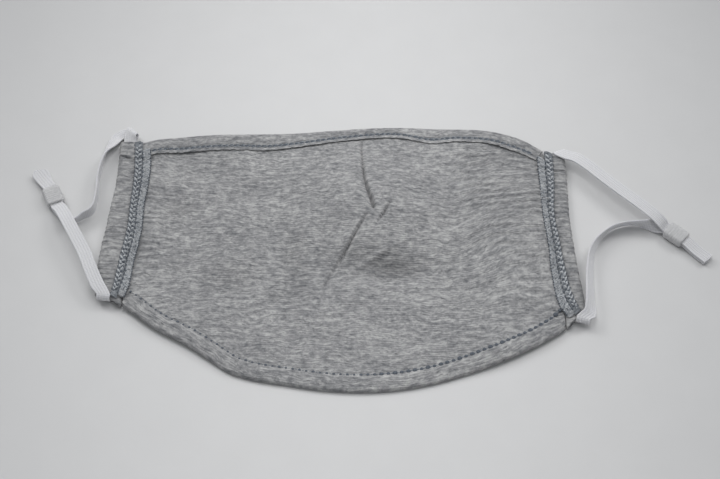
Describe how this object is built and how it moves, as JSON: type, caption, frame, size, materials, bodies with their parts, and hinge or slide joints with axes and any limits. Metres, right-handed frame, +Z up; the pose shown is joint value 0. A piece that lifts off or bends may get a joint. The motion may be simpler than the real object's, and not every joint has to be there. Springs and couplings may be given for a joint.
{
  "type": "cloth face mask",
  "caption": "Flat-lying jersey face mask, inside up, with nose dart, stitched hems, side casings and flat elastic ear loops held by silicone adjusters.",
  "frame": {"origin": "bottom centre of the bounding box of the whole mask as it lies, on the surface it rests on", "axes": "+Z up from that surface, +Y towards the nose edge, +X along the mask's width towards the right ear loop as seen from above with the nose edge away"},
  "size_m": [0.3142, 0.1456, 0.008],
  "materials": {
    "jersey": "light heather grey cotton jersey, fine knit, matt",
    "overlock_thread": "blue-grey sewing thread over grey jersey",
    "elastic": "white flat elastic with fine lengthwise ribs",
    "silicone": "translucent white silicone, satin"
  },
  "bodies": {
    "root": {"mask_panel": "jersey", "top_hem": "jersey", "bottom_hem": "jersey", "casing_left": "jersey", "casing_right": "jersey", "side_seam_left": "overlock_thread", "side_seam_right": "overlock_thread", "ear_loop_left": "elastic", "ear_loop_right": "elastic", "adjuster_left": "silicone", "adjuster_right": "silicone"}
  },
  "joints": []
}
